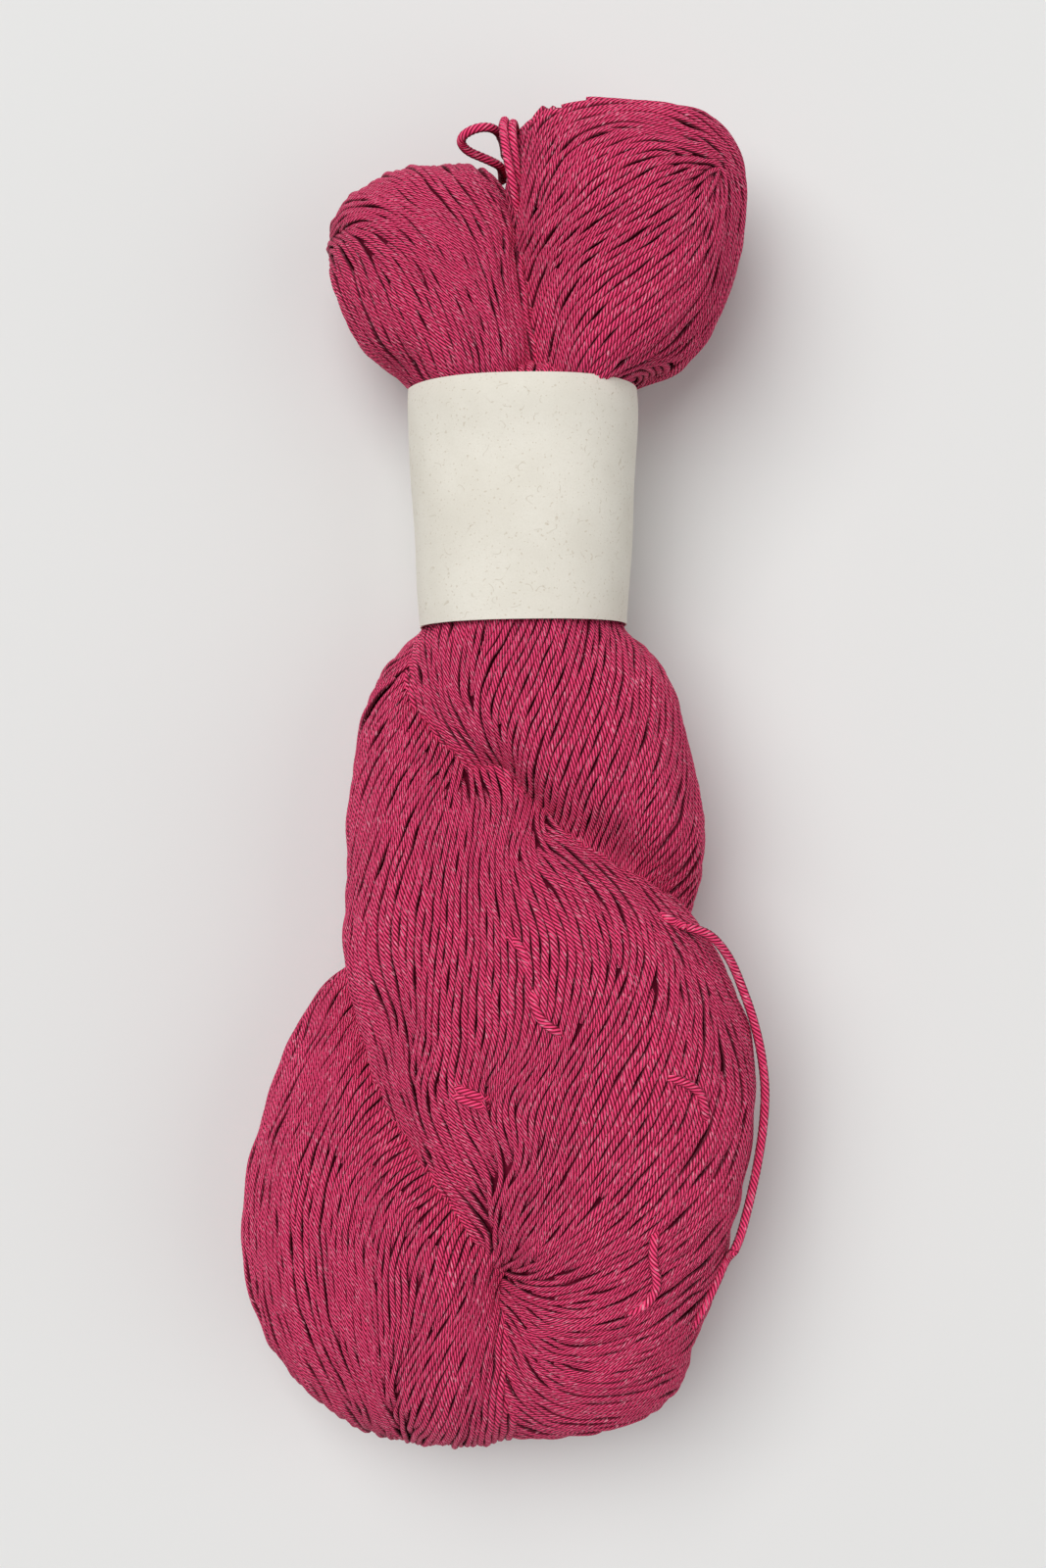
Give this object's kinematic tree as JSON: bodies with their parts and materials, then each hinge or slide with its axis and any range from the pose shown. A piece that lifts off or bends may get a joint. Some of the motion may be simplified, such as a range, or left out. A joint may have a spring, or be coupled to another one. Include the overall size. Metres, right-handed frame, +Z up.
{
  "type": "twisted hank of sock yarn with a paper band",
  "caption": "Twisted hank of fine sock yarn folded on itself, with two loop ends, an eye at its foot and a plain paper band round its neck.",
  "frame": {"origin": "on the table under the middle of the hank's plan", "axes": "+X to the right seen from above, +Y from the folded foot to the two loop ends, +Z up from the table"},
  "size_m": [0.1019, 0.2608, 0.053],
  "materials": {
    "yarn": "matt spun cotton yarn, raspberry with pale flecks",
    "paper": "uncoated recycled paper, cream with fine fibre flecks"
  },
  "bodies": {
    "root": {"hank": "yarn", "band": "paper", "loose_loop": "yarn", "loose_strand": "yarn"}
  },
  "joints": []
}
